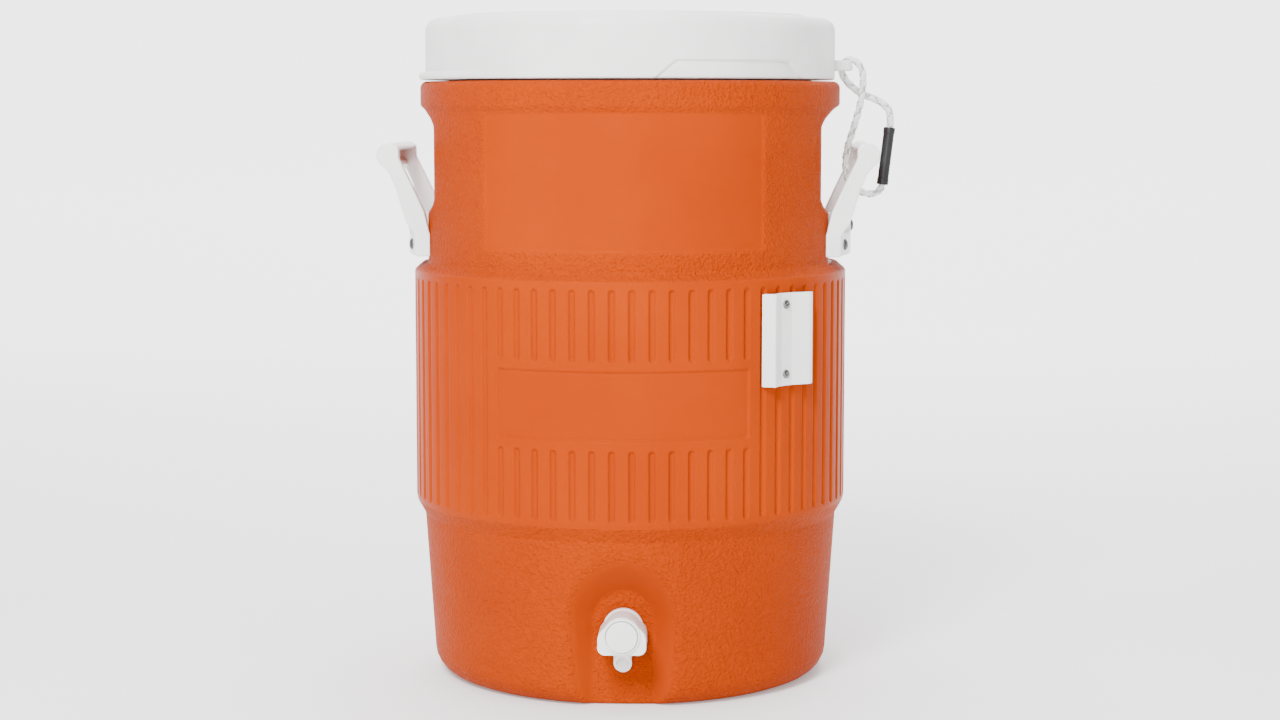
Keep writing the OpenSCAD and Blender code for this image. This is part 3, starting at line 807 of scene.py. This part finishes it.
def make_lid():
    corners = [
        (LID_R - LID_WALL, LID_LOW + 2, 0), (LID_R - LID_WALL, LID_LOW, 0.8), (LID_R, LID_LOW, 1.6),
        (LID_R, LID_STEP, 17.5), (LID_DISC_R + 2.2, LID_STEP, 0.8), (LID_DISC_R, LID_TOP, 1.0),
        (0, LID_TOP - DISC_SAG, 0)]
    profile = refine(fillet(corners, 9), lid_step)[:-1]
    columns = np.linspace(-180, 180, 721)[:-1]
    r = np.array([p[0] for p in profile])[:, None] * np.ones(len(columns))
    z = np.array([p[1] for p in profile])[:, None] * np.ones(len(columns))
    angle = columns[None, :] * np.ones(r.shape)
    skirt = (r > LID_R - 2.6) & (z < LID_STEP - 17)
    out = np.where(skirt, lid_surface(angle, r, z), r)
    a = np.radians(columns)[None, :]
    inner_profile = [(20.0, LID_TOP - LID_WALL), (LID_R - 24, LID_STEP - LID_WALL),
                     (LID_R - LID_WALL - 7, LID_STEP - 11), (LID_R - LID_WALL, LID_STEP - 24)]
    rows_r = np.concatenate([out] + [np.full((1, len(columns)), p[0]) for p in inner_profile])
    rows_z = np.concatenate([z] + [np.full((1, len(columns)), p[1]) for p in inner_profile])
    rows, cols = rows_r.shape
    points = np.stack([rows_r * np.sin(a), -rows_r * np.cos(a), rows_z], -1).reshape(-1, 3).tolist()
    outside_rows = len(profile)
    faces = [f for f in grid_faces(rows, cols) if not
             ((outside_rows - 1) * cols <= f[0] < outside_rows * cols)]
    points += [(0, 0, LID_TOP - DISC_SAG), (0, 0, LID_TOP - LID_WALL)]
    for k in range(cols):
        n = (k + 1) % cols
        faces.append((rows * cols, (outside_rows - 1) * cols + k, (outside_rows - 1) * cols + n))
        faces.append((rows * cols + 1, outside_rows * cols + n, outside_rows * cols + k))
        faces.append(((rows - 1) * cols + k, (rows - 1) * cols + n, n, k))
    lid = make_object("moulded_lid", points, faces)
    face_out(lid)
    return finish_piece(lid, "white_lid", "lid", "lid_shell")


def make_lug():
    """The tether lug: a short thick tongue with a round end and a hole for the rope."""
    outline = [(LID_R - 5, LUG_R), (LID_R - 5, -LUG_R)]
    outline += circle_outline(LUG_X, 0, LUG_R, 24, -90, 180)
    lug = prism("lug", outline, LUG_LOW, LUG_HIGH)
    bevel = lug.modifiers.new("round", "BEVEL")
    bevel.width = 1.6 * MM
    bevel.segments = 4
    bevel.angle_limit = math.radians(50)
    apply_modifiers(lug)
    hole = prism("hole", circle_outline(LUG_HOLE_X, 0, LUG_HOLE_R, 32), LUG_LOW - 5, LUG_HIGH + 5)
    groove = place(prism("groove", circle_outline(0, LUG_HIGH - 0.8, LUG_HOLE_R, 32), LUG_HOLE_X,
                         LUG_X + 20), ALONG_X)
    face_out(groove)
    cut_with(lug, [hole, groove])
    moulded(lug, 0.3, 3)
    lug.name = "tether_lug"
    lug.data.materials.append(MATERIALS["white_lid"])
    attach(lug, "lid")
    return lug


make_lid()
make_lug()


# ---------------------------------------------------------------- handles

HANDLE_HALF, ARM_W = 57.0, 9.0
GRIP_X, GRIP_Z, GRIP_R, GRIP_HOLLOW = 177.2, 394.6, 9.2, 5.8
ARM_OUTER = [(157.6, 319.7), (157.6, 335), (164.5, 344), (168, 355.5), (172.6, 371), (177, 381)]
ARM_INNER = [(169.5, 392), (158, 368), (151, 352.7), (148, 340), (144, 319.7)]
PLATE_OUT, PLATE_LOW, PLATE_HIGH = 167.8, 320.5, 337.0
FOOT_TAB_Z, FOOT_TAB_R = 337.5, 13.0
PAD_X = 149.6
HANDLE_SCREWS = ((-16, 328.5), (16, 328.5), (0, 341))


def seat_line(half_y, gap, steps=40):
    """Plan of the body's surface under the foot: round, with the flat pad."""
    line = []
    for y in np.linspace(-half_y, half_y, steps):
        line.append((min(math.sqrt((UPPER_R + gap) ** 2 - y * y), PAD_X + gap), y))
    return line


def make_foot():
    """The foot plate follows the body outside and is seated on the pad inside."""
    half = HANDLE_HALF - 0.3
    outer = [(math.sqrt(PLATE_OUT ** 2 - y * y), y) for y in np.linspace(half, -half, 40)]
    plate = prism("plate", seat_line(half, 0.2) + outer, PLATE_LOW, PLATE_HIGH)
    rim = circle_outline(0, FOOT_TAB_Z, FOOT_TAB_R, 48)
    points = [(PAD_X + 0.2, y, z) for y, z in rim]
    points += [(math.sqrt(PLATE_OUT ** 2 - y * y), y, z) for y, z in rim]
    n = len(rim)
    faces = [tuple(range(n)), tuple(range(2 * n - 1, n - 1, -1))]
    faces += [(k, n + k, n + (k + 1) % n, (k + 1) % n) for k in range(n)]
    tab = make_object("tab", points, faces, smooth=False)
    face_out(tab)
    return [plate, tab]


def make_arm(y0, y1):
    """A flat arm with a round head at the grip, fitted to the body at its foot."""
    head = circle_outline(GRIP_X, GRIP_Z, GRIP_R, 24, -62, 205)
    arm = across("arm", ARM_OUTER + head + ARM_INNER, y0, y1)
    seat = prism("seat", seat_line(70, 0.2) + [(60, 70), (60, -70)], 300, 351)
    return cut_with(arm, [seat])


def make_handle_mesh():
    """Two arms, a grip that is hollow from inside, and the foot, in one moulding."""
    inner = HANDLE_HALF - ARM_W
    parts = [make_arm(-HANDLE_HALF, -inner), make_arm(inner, HANDLE_HALF)]
    ring = circle_outline(GRIP_X, GRIP_Z, GRIP_R - 0.2, 30, -95, 240)
    hollow = circle_outline(GRIP_X, GRIP_Z, GRIP_HOLLOW, 30, 145, -240)
    parts.append(across("grip", ring + hollow, -inner - 1, inner + 1))
    parts += make_foot()
    return moulded(join("handle", parts), 0.7, 8)


def make_handles():
    right = make_handle_mesh()
    right.name = "handle_right"
    left = right.copy()
    left.data = right.data.copy()
    left.name = "handle_left"
    bpy.context.scene.collection.objects.link(left)
    left.data.transform(Matrix.Rotation(math.pi, 4, "Z"))
    finish_piece(right, "white_plastic", "cooler", "right_handle")
    finish_piece(left, "white_plastic", "cooler", "left_handle")


def pan_head(name, r, high):
    """A pan-head screw with a cross recess, its axis along Z, seated at zero."""
    outline = fillet([(0, high, 0), (r * 0.55, high, 1.2), (r, high * 0.45, 1.0), (r, 0, 0.1),
                      (r * 0.45, 0, 0), (r * 0.45, -4, 0), (0, -4, 0)], 4)
    head = revolve(name, outline, 32)
    slot = r * 0.62
    cutters = []
    for turn in (0, 90):
        blade = prism("blade", [(-slot, -0.38), (slot, -0.38), (slot, 0.38), (-slot, 0.38)],
                      high - 1.0, high + 1)
        blade.data.transform(Matrix.Rotation(math.radians(turn + 20), 4, "Z"))
        cutters.append(blade)
    return cut_with(head, cutters)


def out_of_body(angle, r, z):
    """A matrix whose Z points out of the body at an angle from +X."""
    a = math.radians(angle)
    out = Vector((math.cos(a), math.sin(a), 0))
    beside = Vector((-math.sin(a), math.cos(a), 0))
    turn = Matrix((beside, Vector((0, 0, 1)), out)).transposed().to_4x4()
    return Matrix.Translation(out * r + Vector((0, 0, z))) @ turn


def make_handle_screws(name, node, turned):
    parts = []
    for angle, z in HANDLE_SCREWS:
        head = pan_head("head", 4.2, 2.1)
        parts.append(place(head, out_of_body(angle + turned, PLATE_OUT - 0.1, z)))
    screws = join(name, parts)
    return finish_piece(screws, "dark_steel", "cooler", node)


make_handles()
make_handle_screws("screws_left", "left_handle_screws", 180)
make_handle_screws("screws_right", "right_handle_screws", 0)


# ---------------------------------------------------------------- cup dispenser bracket

BRACKET_ANGLE = 45.5 - 90
BRACKET_Z, BRACKET_H = 231.3, 66.7
BRACKET_OUTLINE = [
    (-24.5, -1.2), (-19, 7), (-9, 2.9), (2, 2.9), (16.5, 7), (20.8, 6), (22.2, 2)]
BRACKET_T = 2.6
BRACKET_LEFT, BRACKET_RIGHT = (24.6, 1.0), (22.4, 3.0)      # each side's reach and corner radius
BRACKET_WEB = 2.9           # from the belt to the web that the screws hold
BRACKET_SCREW_U, BRACKET_SCREW_Z = -4.0, (239.6, 289.8)


def make_bracket():
    """A bent plate: two ridges with a flat web between them, its outer corners rounded."""
    line = fillet([(u, n, 1.2) for u, n in BRACKET_OUTLINE], 4)
    line = refine(line, lambda u, n: 1.2)
    rows = len(line)
    levels = 24
    points, faces = [], []
    for u, n in line:
        edge, corner = BRACKET_RIGHT if u > 0 else BRACKET_LEFT
        near = max(0, abs(u) - (edge - corner))
        drop = corner - math.sqrt(max(corner ** 2 - min(near, corner) ** 2, 0))
        for k in range(levels):
            t = k / (levels - 1)
            points.append((u, t * (BRACKET_H - 2 * drop) + drop, n))
    faces = grid_faces(rows, levels, closed=False)
    bracket = make_object("bracket_plate", points, faces)
    solid = bracket.modifiers.new("thickness", "SOLIDIFY")
    solid.thickness = BRACKET_T * MM
    solid.offset = 1
    bevel = bracket.modifiers.new("edge", "BEVEL")
    bevel.width = 0.5 * MM
    bevel.segments = 3
    bevel.angle_limit = math.radians(60)
    apply_modifiers(bracket)
    place(bracket, out_of_body(BRACKET_ANGLE, BELT_R, BRACKET_Z))
    face_out(bracket)
    return finish_piece(bracket, "white_plastic", "cooler", "cup_bracket")


def make_bracket_screws():
    parts = []
    for z in BRACKET_SCREW_Z:
        head = pan_head("head", 3.2, 1.9)
        on_web = Matrix.Translation((BRACKET_SCREW_U, 0, BRACKET_WEB))
        parts.append(place(head, out_of_body(BRACKET_ANGLE, BELT_R, z) @ on_web))
    screws = join("screws_bracket", parts)
    return finish_piece(screws, "bright_steel", "cooler", "cup_bracket_screws")


make_bracket()
make_bracket_screws()


# ---------------------------------------------------------------- spigot

SPIGOT_Z = 57.1
BUTTON_R = 11.25
HEAD_BACK, HEAD_FRONT = -139.0, -168.0
COLLAR_R, COLLAR_BACK, COLLAR_FRONT = 14.7, -136.0, -140.0
NOZZLE_Y, NOZZLE_R, NOZZLE_BORE, NOZZLE_LOW = -150.0, 6.6, 4.6, 25.5
SHANK_R, SHANK_END = 9.5, -112.0
WAY_R = 5.0
MOUTH_HIGH = 41.6           # top of the nozzle's slanted mouth
BUTTON_BACK = -166.0


def head_outline():
    """Front view of the spigot's head: a round crown on a wider, flatter foot."""
    right = circle_outline(0, 0, 13.7, 16, 90, -62)
    right += [(14.6, 4.0), (16.4, 1.6), (17.4, -2.0), (17.3, -6.0)]
    right += circle_outline(11.9, -8.1, 5.6, 8, 10, -100)
    left = [(-x, z) for x, z in reversed(right[1:])]
    return [(x, SPIGOT_Z + z) for x, z in right + left]


def make_spigot():
    """Head, collar, shank and nozzle in one moulding, with the button's well and the drink's way."""
    head = across("head", head_outline(), HEAD_FRONT, HEAD_BACK)
    collar = across("collar", circle_outline(0, SPIGOT_Z, COLLAR_R, 64), COLLAR_FRONT - 1, COLLAR_BACK)
    shank = across("shank", circle_outline(0, SPIGOT_Z, SHANK_R, 48), COLLAR_BACK - 1, SHANK_END)
    nozzle = prism("nozzle", circle_outline(0, NOZZLE_Y, NOZZLE_R, 48), NOZZLE_LOW, SPIGOT_Z)
    spigot = join("spigot", [head, collar, shank, nozzle])
    moulded(spigot, 0.45, 0)
    bore = prism("bore", circle_outline(0, NOZZLE_Y, NOZZLE_BORE, 40), NOZZLE_LOW - 5, SPIGOT_Z - 2)
    way = across("way", circle_outline(0, SPIGOT_Z, WAY_R, 40), HEAD_FRONT + 11.5, SHANK_END + 1)
    well_outline = circle_outline(0, SPIGOT_Z, BUTTON_R + 0.25, 64)
    well = across("well", well_outline, HEAD_FRONT - 1, HEAD_FRONT + 9.5)
    # everything in front of and below the slanted mouth
    mouth = [(NOZZLE_Y - NOZZLE_R - 0.6, MOUTH_HIGH), (NOZZLE_Y + NOZZLE_R + 0.4, NOZZLE_LOW - 0.3),
             (NOZZLE_Y + NOZZLE_R + 0.4, 0), (-190, 0), (-190, MOUTH_HIGH)]
    wedge = place(prism("wedge", mouth, -30, 30), ALONG_X)
    face_out(wedge)
    cut_with(spigot, [bore, way, well, wedge])
    moulded(spigot, 0.4, 4)
    return finish_piece(spigot, "white_spigot", "cooler", "spigot_body")


def facing_front(y):
    """A matrix that turns a piece's Z to the front and puts it on the spigot's axis."""
    return Matrix.Translation((0, y, SPIGOT_Z)) @ Matrix.Rotation(math.pi / 2, 4, "X")


def make_bonnet():
    """The raised ring that holds the button in."""
    outline = fillet([(BUTTON_R + 0.35, 0, 0), (BUTTON_R + 2, 0, 0.2), (BUTTON_R + 2, 1.9, 0.9),
                      (BUTTON_R + 0.35, 1.9, 0.5), (BUTTON_R + 0.35, 0.5, 0)], 4)
    bonnet = revolve("bonnet_ring", outline, 72, closed=True)
    place(bonnet, facing_front(HEAD_FRONT + 0.05))
    face_out(bonnet)
    return finish_piece(bonnet, "white_spigot", "cooler", "spigot_bonnet")


def make_button():
    """A flat round button, slightly dished in its middle."""
    outline = fillet([(0, 5.2, 0), (6, 5.25, 4), (BUTTON_R - 0.4, 5.5, 0.6), (BUTTON_R, 4.9, 0.4),
                      (BUTTON_R, 0, 0.4), (0, 0, 0)], 5)
    button = revolve("round_button", outline, 72)
    place(button, facing_front(BUTTON_BACK))
    face_out(button)
    return finish_piece(button, "white_spigot", "button", "push_button")


make_spigot()
make_bonnet()
make_button()


# ---------------------------------------------------------------- inner pieces, floor and light

def paint_frame():
    """Gives every CAD piece its material. The ones that still show are mostly inside."""
    slots = {s["node"]: s["material_slot"] for s in frame["record"]["subparts"]}
    for name, obj in frame["nodes"].items():
        material = MATERIALS[slots[name]]
        for slot in obj.material_slots:
            slot.material = material
        if not obj.material_slots:
            obj.data.materials.append(material)


SWEEP_Y, SWEEP_R = 2.6, 1.6     # in metres: where the floor starts to curve up, and the curve's radius


def make_floor():
    """A pale sweep: flat under the object, curving up into a backdrop far behind it."""
    bend = [(SWEEP_Y + SWEEP_R * math.sin(turn), SWEEP_R - SWEEP_R * math.cos(turn))
            for turn in np.linspace(0, math.pi / 2, 24)]
    wall = SWEEP_Y + SWEEP_R
    line = [(-6.0, 0.0), (-2.0, 0.0), (0.0, 0.0), (1.4, 0.0)] + bend + [(wall, 3.0), (wall, 5.5)]
    points = [(x, y, z) for x in (-7.0, 7.0) for y, z in line]
    count = len(line)
    faces = [(i, i + count, i + count + 1, i + 1) for i in range(count - 1)]
    mesh = bpy.data.meshes.new("studio_floor")
    mesh.from_pydata(points, [], faces)
    mesh.shade_smooth()
    floor = bpy.data.objects.new("studio_floor", mesh)
    bpy.context.scene.collection.objects.link(floor)
    material, nodes, links, shader = new_material("floor")
    where = object_space(nodes)
    soft = noise(nodes, links, where, 3.0, 2.0)
    links.new(mix_color(nodes, links, soft, (0.86, 0.86, 0.86), (0.84, 0.84, 0.84)),
              shader.inputs["Base Color"])
    shader.inputs["Roughness"].default_value = 0.8
    split = nodes.new("ShaderNodeSeparateXYZ")
    links.new(where, split.inputs[0])
    links.new(spread(nodes, links, split.outputs["Y"], 0.2, 3.4, 0.25, 2.4),
              shader.inputs["Emission Strength"])
    shader.inputs["Emission Color"].default_value = (1, 1, 1, 1)
    floor.data.materials.append(material)


def area_light(name, location, target, size, power):
    data = bpy.data.lights.new(name, "AREA")
    data.shape = "RECTANGLE"
    data.size, data.size_y = size
    data.energy = power
    light = bpy.data.objects.new(name, data)
    light.location = location
    light.rotation_euler = (Vector(target) - Vector(location)).to_track_quat("-Z", "Y").to_euler()
    bpy.context.scene.collection.objects.link(light)


def make_world():
    """An even pale studio."""
    world = bpy.data.worlds.new("studio")
    world.use_nodes = True
    background = world.node_tree.nodes["Background"]
    background.inputs["Color"].default_value = (0.98, 0.99, 1.0, 1)
    background.inputs["Strength"].default_value = 0.55
    bpy.context.scene.world = world


paint_frame()
make_floor()
make_world()
area_light("key", (-0.6, -2.1, 2.0), (0, 0, 0.28), (0.8, 0.8), 138)
area_light("front", (-0.2, -2.7, 0.7), (0, 0, 0.3), (0.34, 1.2), 38)
area_light("fill", (2.0, -1.4, 0.9), (0, 0, 0.25), (0.9, 1.3), 7)
area_light("top", (0.0, 0.2, 2.4), (0, 0, 0.3), (1.8, 1.8), 62)
area_light("back", (0.3, 2.3, 1.9), (0, 0, 0.3), (1.6, 1.2), 20)
